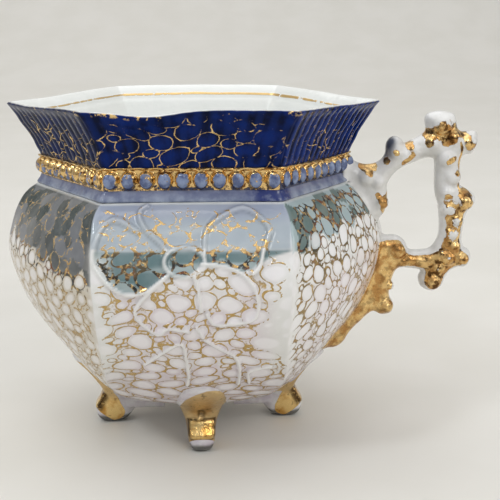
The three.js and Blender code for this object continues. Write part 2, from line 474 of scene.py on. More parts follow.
TEAL_LOW = [(-1, 56), (-0.92, 52), (-0.72, 48.4), (-0.5, 48.8), (-0.3, 52), (-0.08, 52), (0.08, 54.4),
            (0.3, 54.2), (0.5, 52.9), (0.65, 54), (0.8, 56), (1, 57.2)]


def flower_relief(t, z):
    """Height and boss of the raised flower at places t across a panel, -1 to 1, and z up it."""
    place = np.stack([t * FLOWER_HALF_WIDTH, z], 1)
    height = np.zeros(len(t))
    for line in FLOWER.values():
        points = curve([(a * FLOWER_HALF_WIDTH, b) for a, b in line], 24)
        height = np.maximum(height, bell(near(place, points), 0.54))
    ring = np.hypot((t - BOSS[0]) / BOSS_SIZE[0], (z - BOSS[1]) / BOSS_SIZE[1])
    height = np.maximum(height, 0.8 * bell(ring - 1, 0.15))
    return height, np.clip(1 - ring, 0, 1) ** 0.5


def lay(ground, share, colour):
    """colour laid over ground by share."""
    return ground + (np.array(colour) - ground) * np.asarray(share)[..., None]


def teal_low(t):
    """Height of the teal zone's lower edge on a flowered panel."""
    return np.interp(t, *np.array(TEAL_LOW).T)


def panel_kinds(panel):
    """Which places are on a flowered panel, and which on the two panels left of them."""
    return (panel == FRONT) | (panel == BACK), (panel == LEFT) | (panel == LEFT - 1)


def panel_zones(panel, t, z):
    """How far each place is in the teal, blue, grey and right-hand zones of the glaze."""
    flowered, left = panel_kinds(panel)
    wander = 0.9 * ripple(11, 6 * t + 9 * panel, z, scale=3.0)
    low = teal_low(t)
    blue = flowered * ramp(57.2, 58.2, z + 0.4 * wander)
    teal = flowered * ramp(low - 0.35, low + 0.35, z) * (1 - blue)
    edge = np.where(left, 52.3 - 1.8 * t, 58.4)
    side = (1 - flowered) * ramp(edge - 0.7, edge + 0.7, z + 1.4 * wander)
    return teal, blue, side * left, side * ~left, wander


def panel_glaze(panel, t, z, tint, zones):
    """Ground colour of the panels: clouds of glaze, darker above, lilac below and dusky near the bottom,
    that last partly painted shade.
    """
    flowered, left = panel_kinds(panel)
    teal, blue, grey, right, wander = zones
    haze = ripple(13, 2.2 * t, 1.2 * z, scale=1.4)
    lilac = 0.9 * ramp(0.08, 0.4, 1 - np.abs(t)) * ramp(54, 44, z + 2 * wander)
    streak = ramp(0.2, 0.7, ripple(17, 9 * t, 0.3 * z, scale=1.0)) * ramp(-0.3, 0.3, t)
    layers = [
        # the pale ground
        (flowered * (0.35 + 0.65 * tint), (0.66, 0.635, 0.62)),
        (lilac * (0.4 + 0.6 * tint), (0.70, 0.615, 0.65)),
        # dusky pink towards the bottom: partly the glaze's colour, partly painted shade under the belly
        (0.8 * ramp(30, 17, z + wander), (0.47, 0.40, 0.42)),
        (left * ramp(60, 48, z) * (0.7 + 0.3 * tint), (0.55, 0.475, 0.355)),
        # teal round the flower's heart, and blue above it
        (teal, (0.115, 0.19, 0.20)),
        (teal * np.maximum(0.65 * (tint > 0.5), 0.8 * ramp(0.1, 0.7, haze)), (0.42, 0.49, 0.49)),
        (blue, (0.40, 0.455, 0.50)),
        (blue * 0.8 * ramp(0.0, 0.7, haze), (0.56, 0.60, 0.61)),
        (blue * 0.6 * ramp(62.5, 66, z + wander), (0.27, 0.30, 0.43)),
        # smoky grey on the left panels
        (grey, (0.115, 0.12, 0.115)),
        (grey * ramp(58.5, 62.5, z + wander), (0.028, 0.045, 0.043)),
        (0.85 * grey * streak, (0.035, 0.042, 0.038)),
        (grey * (tint > 0.7) * 0.6, (0.22, 0.225, 0.245)),
        (0.6 * grey * ramp(0.1, 0.6, haze), (0.24, 0.235, 0.225)),
        (grey * (tint < 0.3) * 0.4, (0.05, 0.056, 0.05)),
        # teal high on the right panels
        (right, (0.105, 0.165, 0.155)),
        (right * (tint > 0.4) * 0.85, (0.41, 0.51, 0.53)),
    ]
    ground = np.broadcast_to(np.array([0.78, 0.77, 0.745]), (*t.shape, 3))
    for share, colour in layers:
        ground = lay(ground, share, colour)
    return ground


def tracery(panel, t, z, relief, cell_t, cell_z, zones):
    """How strong and how dark the gilt outlines of the bubbles are."""
    flowered, left = panel_kinds(panel)
    teal, blue, grey, right, _ = zones
    veins = left * bell(z - 51.4 + 1.8 * t, 3.0)
    band = bell(z - teal_low(t) - 0.9, 1.3) * ramp(46, 48, z)
    strength = np.where(left, 0.66 - 0.22 * grey, 0.88)
    strength = np.where(flowered, 0.86 - 0.34 * blue - 0.12 * teal, strength)
    strength = np.maximum(strength, 0.95 * veins)
    dark = np.where(left, 0.2 + 0.9 * veins, 0.5 * right + 0.4 + 0.35 * ramp(44, 56, z))
    dark = np.where(flowered, np.clip(0.9 * teal + 0.7 * band, 0, 1), dark)
    bare = 0.1 + 0.24 * bell(cell_z - 38, 7) * ramp(20, 30, z)
    free = np.where(flowered & (cell_t > 0), bare, 0.05)
    inner = 0.5 * (1 - np.abs(t)) + 0.5 * (1 - np.abs(cell_t))
    margin = ramp(free - 0.03, free + 0.05, inner)
    margin = np.maximum(margin, ramp(33, 26, z) * flowered)
    strength = strength * margin * (1 - 0.9 * relief * (z < 57.5)) * ramp(66.6, 65.6, z)
    return strength, np.clip(dark, 0, 1)


def bowl_masks(panel, t, z, relief, number, tint):
    """Colours and masks of the painted panels."""
    flowered = panel_kinds(panel)[0]
    cell_t, cell_z = cell_mean(t, number), cell_mean(z, number)
    by_cell = np.where(flowered, 0.0, 1.0)
    glaze_t, glaze_z = t + by_cell * (cell_t - t), z + by_cell * (cell_z - z)
    zones = panel_zones(panel, glaze_t, glaze_z)
    ground = panel_glaze(panel, glaze_t, glaze_z, tint, zones)
    strength, dark = tracery(panel, t, z, relief, cell_t, cell_z, zones)
    inner = 1 - np.abs(t)
    # white along the ribs between panels: partly white glaze, partly a painted highlight along them
    rib = 0.4 * ramp(0.05, 0.0, inner) * ramp(16, 21, z) * ramp(60.5, 57, z)
    crest = ramp(0.35, 1.0, relief) * np.where(z > 57.8, 0.2, 0.95)
    white = np.clip(np.maximum(rib, crest), 0, 1)
    # painted shade: the ground is darkened along the foot of each raised flower ridge
    ridge_foot_shade = bell(relief - 0.25, 0.18) * (relief > 0.02)
    ground = ground * (1 - 0.2 * ridge_foot_shade)[..., None]
    ground = lay(ground, white, (0.83, 0.82, 0.80))
    fade = flowered * ramp(0.25, 0.02, inner) * ramp(58, 54, z) * ramp(22, 30, z)
    ground = lay(ground, 0.8 * fade, (0.79, 0.79, 0.76))
    pale = 1 - np.clip(sum(zones[:4]), 0, 1)
    return {"ground": np.clip(ground, 0, 1), "lines": strength, "dark": dark, "white": white, "pale": pale}


def bowl():
    """The panelled bowl: ribs, the raised flower on the front and back, and the plain inside."""
    per_panel, outer_rows, inner_rows = 138, 172, 26
    cols = PANELS * per_panel
    profile = np.vstack([curve(BOWL_OUTSIDE, outer_rows), BOWL_RIM, curve(BOWL_INSIDE, inner_rows)])
    rows = len(profile)
    angle, r = np.meshgrid(np.linspace(0, 2 * math.pi, cols, endpoint=False), profile[:, 0])
    z = np.repeat(profile[:, 1:], cols, 1)
    points = body_point(angle, r, z)
    column = np.arange(cols)
    panel = np.tile(column // per_panel, (rows, 1))
    t = np.tile(2 * (column % per_panel) / per_panel - 1, (rows, 1))
    outer = np.repeat(np.arange(rows)[:, None] < outer_rows, cols, 1)
    half_width = r * HALF_PANEL

    flowered = panel_kinds(panel)[0] & outer
    relief, boss = np.zeros_like(t), np.zeros_like(t)
    relief[flowered], boss[flowered] = flower_relief(t[flowered], z[flowered])
    along = np.tile(path_length(profile)[:, None], (1, cols))
    across, up_wall = t * half_width, along * outer
    gap, number, tint = foam(across, up_wall, cols, 300, BUBBLE_WIDEN, biggest=2.5, smallest=0.5)

    rib = bell((1 - np.abs(t)) * half_width, 1.1) * ramp(15, 22, z) * ramp(NECK_Z, 63, z)
    swell = 0.12 * ripple(3, *np.moveaxis(points, -1, 0), scale=4.0)
    lift = 0.9 * relief + 0.4 * boss + 0.35 * rib + swell * ramp(14, 18, z)
    points = points + grid_normals(points) * (lift * outer)[..., None]

    masks = bowl_masks(panel, t, z, relief, number, tint)
    underside = ramp(14.5, 12.5, z) * outer
    glaze = lay(masks.pop("ground"), underside, (0.62, 0.58, 0.58))
    masks["lines"] = masks["lines"] * (1 - underside)
    masks = {name: values * outer for name, values in masks.items()}
    masks["ground"] = np.where(outer[..., None], glaze, (0.77, 0.78, 0.75))
    masks["gap"] = gap
    return close_ends(points, profile, masks)


def close_ends(points, profile, masks):
    """The bowl's grid as a mesh, with a fan of triangles over each end of its profile."""
    rows, cols = points.shape[:2]
    column, last = np.arange(cols), (rows - 1) * cols
    after = np.roll(column, -1)
    fans = [(rows * cols, after[i], i) for i in column]
    fans += [(rows * cols + 1, last + i, last + after[i]) for i in column]
    ends = [[0, 0, profile[0, 1]], [0, 0, profile[-1, 1]]]
    masks = {name: values.reshape(-1, *values.shape[2:]) for name, values in masks.items()}
    masks = {name: np.concatenate([values, values[:1], values[-1:]]) for name, values in masks.items()}
    faces = [*wrap_faces(rows, cols, False), *fans]
    return make_mesh("bowl_shell", np.vstack([points.reshape(-1, 3), ends]), faces, masks)


def bowl_paint():
    paint = Paint("decorated_porcelain")
    lines, dark, gap = (paint.mask(name) for name in ("lines", "dark", "gap"))
    ground = paint.mask("ground", "Color")
    gap = brush_shake(paint, gap, 0.8, 0.2)
    width = paint.times(wobbled_width(paint, 0.03, 0.17), paint.step(lines, 0.2, 0.65, 0.5, 1.0))
    width = paint.times(width, paint.blend(dark, 1.0, 1.9))
    width = paint.times(width, paint.blend(paint.mask("pale"), 1.35, 1.0))
    ring = ring_line(paint, gap, width)
    pooled = paint.step(paint.noise(0.33, 3.0), 0.53, 0.64)
    pool = paint.times(paint.step(gap, 0.03, 0.16), pooled)
    patch = paint.noise(0.6, 5.0, 0.6)
    worn = worn_gold(paint, patch, lines)
    shape = paint.math("MAXIMUM", ring, pool)
    line = paint.times(shape, paint.times(worn, paint.step(lines, 0.02, 0.3)), clamp=True)

    mottle = paint.step(paint.noise(0.2, 5.0), 0.3, 0.7)
    pale = paint.mix(0.22, ground, (0.85, 0.84, 0.84), "SCREEN")
    mottle = paint.times(mottle, paint.blend(paint.mask("pale"), 0.3, 0.8))
    fill = paint.mix(mottle, ground, pale)
    hollow = paint.times(paint.step(gap, -0.3, -1.1), paint.mask("pale"))
    fill = paint.mix(paint.times(hollow, 0.55), fill, (0.92, 0.90, 0.91))
    colour = paint.mix(paint.mask("white"), fill, ground)

    black = paint.times(dark, paint.step(paint.noise(0.9), 0.36, 0.50), clamp=True)
    ink = paint.cloud(0.3, (0.018, 0.02, 0.018), (0.16, 0.055, 0.02), 0.52, 0.6, 3.0)
    ochre = paint.mix(patch, (0.36, 0.235, 0.075), (0.62, 0.43, 0.17))
    ochre = paint.mix(paint.mask("pale"), gold_colour(paint), ochre)
    metal = paint.mix(black, ochre, ink)
    bright = paint.math("SUBTRACT", 0.75, black, clamp=True)
    paint.gild(line, colour, metal, 0.27, paint.step(paint.noise(0.3), 0.3, 0.7, 0.05, 0.12), bright)
    paint.bump(paint.plus(paint.times(line, 0.3), paint.noise(0.18, 2.0)), 0.2)
    return paint.material


# ---- neck moulding and beads

def ring_piece(name, profile, cols, lift, masks):
    """A closed ring from a closed profile; lift and masks are told each point's panel, t, z and row."""
    profile = np.array(profile, float)
    rows = len(profile)
    across = np.linspace(-1, 1, cols // PANELS, endpoint=False)
    within = np.arctan(across * math.tan(HALF_PANEL))
    angle = np.concatenate([within + HALF_PANEL * (2 * p + 1) for p in range(PANELS)])
    angle_grid, r_grid = np.meshgrid(angle, profile[:, 0])
    z_grid = np.repeat(profile[:, 1:], cols, 1)
    points = body_point(angle_grid, r_grid, z_grid, RING_CRISP)
    t = np.tile(np.tile(across, PANELS), (rows, 1))
    panel = np.tile(np.arange(cols) // (cols // PANELS), (rows, 1))
    row = np.repeat(np.arange(rows)[:, None], cols, 1)
    points = points + lift(panel, t, z_grid, row, points)
    values = masks(panel, t, z_grid, row)
    faces = wrap_faces(rows, cols, True)
    return make_mesh(name, points.reshape(-1, 3), faces, {k: v.reshape(-1) for k, v in values.items()})


def outwards(points):
    out = points * [1, 1, 0]
    return out / np.maximum(np.linalg.norm(out, axis=-1, keepdims=True), 1e-9)


def bore_rows(row):
    """1 on the first and last rows of a ring's profile, which line its bore."""
    return ((row == 0) | (row == row.max())).astype(float)


def neck_moulding():
    """The small moulding between bowl and beads, its glaze run into a wavy edge."""
    low, high = NECK_Z - 0.5, BEAD_Z + 0.6
    outside = curve([(41.3, NECK_Z + 0.05), (41.9, NECK_Z + 0.3), (41.7, NECK_Z + 0.9), (41.2, NECK_Z + 1.6),
                     (40.9, BEAD_Z + 0.1), (40.7, high)], 14)
    profile = np.vstack([[(BORE_R, low), (40, low)], outside, [(BORE_R, high)]])

    def lift(panel, t, z, row, points):
        wave = 0.3 * ripple(61, 7 * t + 13 * panel, scale=1.0) * ramp(1, 4, row) * ramp(14, 8, row)
        return outwards(points) * wave[..., None] + [0, 0, 1] * (0.5 * wave)[..., None]

    def masks(panel, t, z, row):
        up = ramp(NECK_Z + 0.2, BEAD_Z + 0.2, z)
        right = bell(t + 0.95, 0.18) * (panel == RIGHT)
        stain = 1.2 * (right + bell(t - 0.84, 0.2) * (panel == FRONT))
        stain = np.clip(stain + 0.22 * ripple(5, 5 * t + 11 * panel, z, scale=1.2) * up, 0, 1)
        return {"up": up, "stain": stain, "bore": bore_rows(row)}

    return ring_piece("neck_moulding_ring", profile, PANELS * 90, lift, masks)


def neck_paint():
    paint = Paint("violet_glaze")
    colour = paint.cloud(0.22, (0.13, 0.16, 0.26), (0.34, 0.39, 0.49), 0.35, 0.68)
    colour = paint.mix(paint.times(paint.mask("up"), 0.5), colour, (0.13, 0.14, 0.26))
    blot = paint.step(paint.noise(0.5), 0.3, 0.55, 0.4, 1.0)
    stain = paint.times(paint.mask("stain"), blot, clamp=True)
    colour = paint.mix(stain, colour, (0.012, 0.026, 0.15))
    colour = paint.mix(paint.mask("bore"), colour, inside_white(paint))
    paint.set(Base_Color=colour, Roughness=paint.step(paint.noise(0.4), 0.3, 0.7, 0.05, 0.14))
    paint.bump(paint.noise(0.3, 2.0), 0.2)
    return paint.material


BEADS_PER_PANEL = 10
BEAD_RISE = 1.85


def bead_band():
    """A ring of 60 beads, each a dome, with a rolled edge above them."""
    low, high = BEAD_Z + 0.1, COLLAR_Z + 0.5
    middle, half = BEAD_Z + 3.1, 2.2
    outside = [(40.6, low + (high - low) * s) for s in np.linspace(0, 1, 34)]
    profile = [(BORE_R, low), *outside, (BORE_R, high)]

    def dome(t, z):
        along = (np.mod((t + 1) / 2 * BEADS_PER_PANEL, 1) - 0.5) * 2
        far = np.hypot(along / 0.88, (z - middle) / half)
        return np.sqrt(np.clip(1 - far**2, 0, 1))

    def lift(panel, t, z, row, points):
        lip_z = COLLAR_Z + 0.25 + 0.25 * np.sin(3 * t + panel) + 0.12 * np.cos(BEADS_PER_PANEL * math.pi * t)
        lip = bell(z - lip_z, 0.42)
        rise = np.maximum(BEAD_RISE * dome(t, z), 0.75 * lip) * (1 - bore_rows(row))
        return outwards(points) * rise[..., None]

    def masks(panel, t, z, row):
        round_mug = np.array([0.46, 0.35, 0.6, 1.0, 0.66, 0.44])[panel]
        gilt = round_mug + 0.25 * ripple(21, 3 * t + 7 * panel, z, scale=1.0)
        low_down = ramp(middle - 0.4, middle - 2.2, z)
        return {"bead": ramp(0.35, 0.8, dome(t, z)), "gilt": gilt - 0.35 * low_down - 3 * bore_rows(row),
                "bore": bore_rows(row), "lip": ramp(COLLAR_Z - 1.1, COLLAR_Z - 0.3, z)}

    return ring_piece("bead_ring", profile, PANELS * BEADS_PER_PANEL * 18, lift, masks)


def bead_paint():
    paint = Paint("gilt_beading")
    bead, gilt = paint.mask("bead"), paint.mask("gilt")
    glaze = paint.cloud(0.5, (0.08, 0.11, 0.23), (0.24, 0.30, 0.46), 0.35, 0.65)
    # painted shade: each bead's glaze darkens towards its edge, leaving the middle of the dome lighter
    glaze = paint.mix(paint.step(bead, 0.75, 0.2), glaze, (0.02, 0.028, 0.08))
    glaze = paint.mix(paint.mask("bore"), glaze, inside_white(paint))
    patch = paint.noise(0.75, 5.0, 0.65)
    cover = paint.plus(paint.times(gilt, 0.62), paint.times(paint.mask("lip"), 0.3))
    cover = paint.math("SUBTRACT", cover, paint.times(bead, 0.42))
    gold = paint.step(paint.plus(patch, cover), 0.62, 0.70)
    old = paint.cloud(0.9, gold_colour(paint), (0.16, 0.07, 0.022), 0.51, 0.64, 3.0)
    paint.gild(gold, glaze, old, paint.step(patch, 0.3, 0.7, 0.09, 0.24), metallic=0.95)
    paint.bump(paint.plus(gold, paint.times(patch, 1.5)), 0.06)
    return paint.material


# ---- collar

FLUTES_PER_PANEL = 14
COLLAR_HALF_WIDTH = 24.0  # of one of its panels


def collar():
    """The flared, fluted collar with its worn, wavy rim and thick lip."""
    low, cols = COLLAR_Z + 0.1, PANELS * 196
    outside = curve([(40.6, low), (41.8, 77.8), (43.5, 81), (45.8, 84.6), (47.8, 87.3)], 44)
    rim = curve([(48.2, 87.8), (48.6, 88.4), (48.4, RIM_Z + 0.1), (47.8, RIM_Z + 0.3), (46.8, 88.4)], 12)
    inside = curve([(45.8, 87.7), (44.4, 86.2), (43.9, 85.3), (42.9, 84.2), (40.9, 80.8), (39, 77.6),
                    (BORE_R, low)], 26)
    profile = np.vstack([outside, rim, inside])
    rim_row, inside_row = len(outside), len(outside) + len(rim)
    column = np.tile(np.arange(cols), (len(profile), 1))
    panel_across = 2 * (column % (cols // PANELS)) / (cols // PANELS) - 1
    along = np.tile(path_length(profile)[:, None], (1, cols))
    outer = np.arange(len(profile))[:, None] < rim_row + 6
    across, up_wall = panel_across * COLLAR_HALF_WIDTH, (along - 0.4) * outer
    gap = foam(across, up_wall, cols, 900, [1.5] * PANELS, biggest=2.5, smallest=0.7)[0]

    def up(z):
        return np.clip((z - low) / (RIM_Z - low), 0, 1)

    def flute(t):
        return np.abs(np.sin(math.pi * FLUTES_PER_PANEL * (t + 1) / 2))

    def lift(panel, t, z, row, points):
        side = ramp(rim_row + 7, rim_row, row)
        depth = 0.45 * ramp(0.0, 0.2, up(z)) * ramp(1.03, 0.8, up(z)) * side
        depth = depth * np.where(panel == FRONT, 0.55, 1.0)
        dip = 1.3 * bell(t + 0.42, 0.36) * (panel == FRONT)
        wave = 0.2 * ripple(31, 4 * t + 8 * panel, scale=1.0) + 0.16 * (flute(t) - 0.6) * side
        slump = 0.25 * ripple(33, 5 * t + 8 * panel, z, scale=1.5) * side
        move = outwards(points) * (depth * (flute(t) - 0.6) + slump)[..., None]
        move[..., 2] += (wave - dip) * ramp(0.55, 1.0, up(z))
        return move

    def masks(panel, t, z, row):
        wobble = 1.5 * ripple(41, 5 * t + 9 * panel, scale=1.0)
        cobalt = ramp(rim_row + 6.0 + wobble, rim_row + 4.2 + wobble, row)
        amount = np.array([0.5, 0.6, 0.5, 0.6, 0.72, 0.5])[panel] * ramp(1.1, 0.45, up(z))
        amount = amount * (0.6 + 0.65 * bell(t + 0.1, 0.5))
        amount = amount + 0.2 * ripple(43, 2.5 * t + 5 * panel, scale=1.0)
        line = bell(row - inside_row - 3.2 - 0.4 * wobble, 0.75) * (row > inside_row)
        strong = 0.75 + 0.5 * bell(t - 0.6, 0.5) * (panel == BACK - 1) + 0.3 * (panel == BACK)
        rub = bell(t + 0.75, 0.3) * (panel == FRONT) + ramp(0.8, 1, t) * (panel == LEFT)
        # the left panel is greyed, with lighter flute ridges: a painted reflection of the room
        smoke = (panel == LEFT) * (0.65 + 0.3 * ripple(47, 4 * t, 0.3 * z, scale=1.0))
        # pale marks the two right-hand panels, whose flute ridges get a stronger painted highlight
        pale = np.isin(panel, [RIGHT, 0]).astype(float)
        return {"cobalt": cobalt, "rub": rub, "smoke": np.clip(smoke, 0, 1), "ridge": flute(t),
                "lines": amount * cobalt, "inner_line": line * strong, "up": up(z), "pale": pale,
                "gap": gap}

    return ring_piece("collar_shell", profile, cols, lift, masks)


def collar_paint():
    paint = Paint("cobalt_glaze")
    cobalt, ridge, gap = (paint.mask(name) for name in ("cobalt", "ridge", "gap"))
    cloud = paint.step(paint.noise(0.2, 5.0), 0.32, 0.7)
    blue = paint.mix(cloud, (0.001, 0.004, 0.024), (0.003, 0.013, 0.095))
    # painted highlight: the flute ridges are lightened, most on the two right-hand panels
    lit = paint.times(paint.step(ridge, 0.45, 1.0), paint.blend(paint.mask("pale"), 0.3, 0.75))
    blue = paint.mix(lit, blue, (0.005, 0.03, 0.20))
    deep = paint.times(paint.step(gap, -0.1, -1.0), paint.times(cloud, 0.6))
    blue = paint.mix(deep, blue, (0.003, 0.022, 0.17))
    # painted reflection: the left panel's blue greyed over, lighter on the flute ridges
    smoke = paint.mix(ridge, (0.004, 0.005, 0.012), (0.030, 0.033, 0.045))
    blue = paint.mix(paint.times(paint.mask("smoke"), 0.8), blue, smoke)
    colour = paint.mix(cobalt, inside_white(paint), blue)

    ring = ring_line(paint, brush_shake(paint, gap, 1.2, 0.4), wobbled_width(paint, 0.02, 0.09))
    patch = paint.noise(0.45, 5.0, 0.62)
    worn = worn_gold(paint, patch, paint.mask("lines"))
    line = paint.times(ring, paint.times(worn, cobalt), clamp=True)
    inner = paint.step(paint.times(paint.mask("inner_line"), paint.step(patch, 0.25, 0.5)), 0.35, 0.6)
    rub = paint.plus(patch, paint.times(paint.mask("rub"), 0.14))
    rub = paint.times(paint.step(paint.mask("up"), 0.92, 0.98), paint.step(rub, 0.61, 0.66))
    gold = paint.math("MAXIMUM", paint.math("MAXIMUM", line, inner), paint.times(rub, cobalt), clamp=True)
    paint.gild(gold, colour, gold_colour(paint), 0.3, paint.step(paint.noise(0.35), 0.3, 0.7, 0.03, 0.09))
    paint.set(Specular_IOR_Level=paint.blend(cobalt, 0.5, 0.08))
    paint.bump(paint.plus(paint.times(gold, 0.3), paint.noise(0.22, 3.0)), 0.18)
    return paint.material


# ---- feet

# Distance of each profile from the foot's own axis, or its half width, all the way up
FOOT_OUTER = [(0, 26.3), (0.5, 27.3), (1.5, 28.1), (3.2, 28.5), (4.8, 28.0), (6.6, 26.9), (8.2, 26.4),
              (10.2, 26.9), (12.5, 28.4), (16, 31.2), (19.6, 35)]
FOOT_INNER = [(0, 20.9), (0.8, 19.8), (2.8, 18.2), (5.6, 16), (8, 14.6), (12, 14), (19.6, 17)]
FOOT_HALF_WIDTH = [(0, 2.4), (1.2, 3.1), (3, 3.5), (5, 3.75), (7, 4.1), (9, 4.6), (10.5, 5.1), (12.3, 5.6),
                   (14.9, 5.6), (16.6, 5.0), (18, 3.7), (19, 2.0), (19.6, 0.3)]
FOOT_GILT = [(0, 25.5), (0.4, 23.6), (1.5, 21.4), (3.5, 20.8), (6.1, 21.9), (9, 23.4), (11.8, 25), (16, 28),
             (19.6, 31)]
FOOT_TWIST = math.radians(2.5)
FOOT_INSET = [0, 3.1]  # the front and back feet stand nearer the middle
LEAF_TALL = [5.6, 7.4]
LEAF_Z = 13.4
TOE_LOW, TOE_TOP = 3.7, 8.6  # heights of the edges of the block on the toe
SLOT_Z = 10.4


def foot_line(profile, z):
    return np.interp(z, *curve(profile, 60).T)


def foot_place(p, quarter):
    """Places as a foot sees them: outwards, sideways and up."""
    x, y, z = p.T
    turn = quarter * math.pi / 2 + FOOT_TWIST
    out = x * math.cos(turn) + y * math.sin(turn) + FOOT_INSET[quarter % 2]
    return out, -x * math.sin(turn) + y * math.cos(turn), z


def foot_slot(y, z):
    """1 in the slot of a foot's waist, 0 away from it."""
    return np.exp(-((y / 0.9) ** 4) - ((z - SLOT_Z) / 1.3) ** 4)


def foot_blank(p, quarter):
    """Distance outside a foot: waist and toe, the block on the toe, and the leaf laid up the bowl."""
    x, y, z = foot_place(p, quarter)
    x_out = foot_line(FOOT_OUTER, z) + 0.45 * FOOT_INSET[quarter % 2] * ramp(10.5, 15.5, z)
    x_in = foot_line(FOOT_INNER, z)
    depth, half = (x_out - x_in) / 2, np.maximum(foot_line(FOOT_HALF_WIDTH, z), 0.4)
    narrow = 0.26 * ramp(9, 6, z) + 0.08
    taper = 1 - narrow * ramp(0, -3.5, x - foot_line(FOOT_GILT, z))
    front = x + 0.03 * y**2
    square = 3.4 + 2.6 * ramp(7, 10, z)
    ring = (np.abs(front - (x_out + x_in) / 2) / depth) ** square + (np.abs(y) / (half * taper)) ** square
    paw = soft_max((ring ** (1 / square) - 1) * np.minimum(half, depth), z - 18.4, 0.8)
    block = np.stack([front - x_out + 0.45, np.abs(y) - 2.4, np.abs(z - 6.3) - 1.2], 1)
    block = np.linalg.norm(np.maximum(block, 0), axis=1) + np.minimum(block.max(1), 0) - 1.1
    tall = LEAF_TALL[quarter % 2]
    leaf = ((np.abs(y) / 5.8) ** 2.6 + (np.abs(z - LEAF_Z) / tall) ** 2.6) ** (1 / 2.6) * 5.8 - 5.8
    leaf = soft_max(leaf, body_field(p) - 0.95, 0.9)
    paw = soft_min(paw, np.where(x > 12, leaf, FAR), 0.8)
    paw = paw + 0.8 * foot_slot(y, z) * ramp(-3, -1, x - x_out)
    return soft_max(soft_max(soft_min(paw, block, 0.3), 0.02 - z, 0.8), z - 21.6, 0.5)


def foot_masks(points, quarter):
    """Where a foot is gilt, burnished, worn along its edges and dark along the bottom."""
    x, y, z = foot_place(points, quarter)
    beyond = x - foot_line(FOOT_GILT, z)
    paw = ramp(-0.5, 0.4, beyond + 0.5 * ripple(71 + quarter, y, z, scale=2.0))
    lean = 0.35 * np.minimum(y - 0.5, 0.6)
    tall = LEAF_TALL[quarter % 2] - 1.1
    leaf = ((np.abs(y - 0.5) / 5.7) ** 3 + (np.abs(z - LEAF_Z - lean) / tall) ** 3) ** (1 / 3)
    leaf = ramp(1.08, 0.96, leaf + 0.05 * ripple(75 + quarter, y, z, scale=1.5))
    gilt = np.maximum(paw * (z < 10), leaf * (z > 8))
    gilt = gilt * ramp(0.2, 0.9, z - 0.7 * np.maximum(x - 23.6, 0)) * (x > 14)
    inwards = x - foot_line(FOOT_OUTER, z)
    toe = ramp(9.2, 8.4, z) * ramp(-1.5, -0.3, inwards) + ramp(9, 6, z)
    edge = bell(np.abs(y) - 3.35, 0.45) * ramp(3.2, 4.2, z) * ramp(9.2, TOE_TOP, z)
    edge = np.maximum(edge, bell(z - TOE_TOP, 0.45) * ramp(3.7, 3.1, np.abs(y)))
    edge = np.maximum(edge, 0.8 * bell(z - TOE_LOW, 0.3))
    edge = np.maximum(edge, 0.75 * foot_slot(y, z)) * ramp(-2.5, -1.0, inwards)
    sole = ramp(2.8, 1.6, z + 0.35 * ripple(79 + quarter, x, y, scale=0.7))
    return {"gilt": gilt, "toe": np.clip(toe, 0, 1), "edge": edge, "sole": sole}


def run_into_wall(lump, wall, blend, reach, sunk):
    """A lump's field joined to the body's wall, kept near the lump and just under the glaze."""
    joined = np.maximum(soft_min(lump, wall, blend), lump - reach)
    return np.maximum(joined, -(wall + sunk))


def foot(side, quarter):
    """One paw foot, run into the bowl's wall."""
    def field(p):
        return run_into_wall(foot_blank(p, quarter), body_field(p), blend=0.7, reach=0.5, sunk=0.45)

    turn = quarter * math.pi / 2 + FOOT_TWIST
    centre = np.array([math.cos(turn), math.sin(turn)]) * (23.5 - FOOT_INSET[quarter % 2])
    points, faces = surface_net(field, [*(centre - 14), -0.8], [*(centre + 14), 22.3], cell=0.36)
    points[:, 2] = np.maximum(points[:, 2], 0)
    return make_mesh(f"foot_{side}_scroll", points, faces, foot_masks(points, quarter))


def foot_paint():
    paint = Paint("gilt_feet")
    patch = paint.noise(0.8, 5.0, 0.6)
    glaze = paint.cloud(0.2, (0.56, 0.50, 0.56), (0.78, 0.77, 0.76))
    glaze = paint.mix(paint.times(paint.mask("sole"), 0.9), glaze, (0.07, 0.07, 0.055))
    gold = paint.step(paint.plus(paint.mask("gilt"), paint.times(patch, 0.5)), 0.68, 0.76)
    dull = paint.mix(paint.noise(1.1, 4.0), (0.52, 0.36, 0.17), (0.78, 0.58, 0.30))
    bright = paint.cloud(0.3, (0.92, 0.66, 0.28), (0.62, 0.34, 0.09), 0.4, 0.65, 3.0)
    metal = paint.mix(paint.mask("toe"), dull, bright)
    rust = paint.times(paint.step(paint.noise(0.7, 4.0), 0.6, 0.68), 0.55)
    chipped = paint.step(patch, 0.35, 0.5, 0.35, 1.0)
    rust = paint.math("MAXIMUM", rust, paint.times(paint.mask("edge"), chipped), clamp=True)
    metal = paint.mix(rust, metal, (0.065, 0.032, 0.012))
    rough = paint.blend(paint.mask("toe"), paint.step(patch, 0.3, 0.7, 0.3, 0.44), 0.14)
    paint.gild(gold, glaze, metal, rough)
    paint.bump(paint.plus(gold, paint.times(patch, 2.0)), 0.08)
    return paint.material


# ---- handle

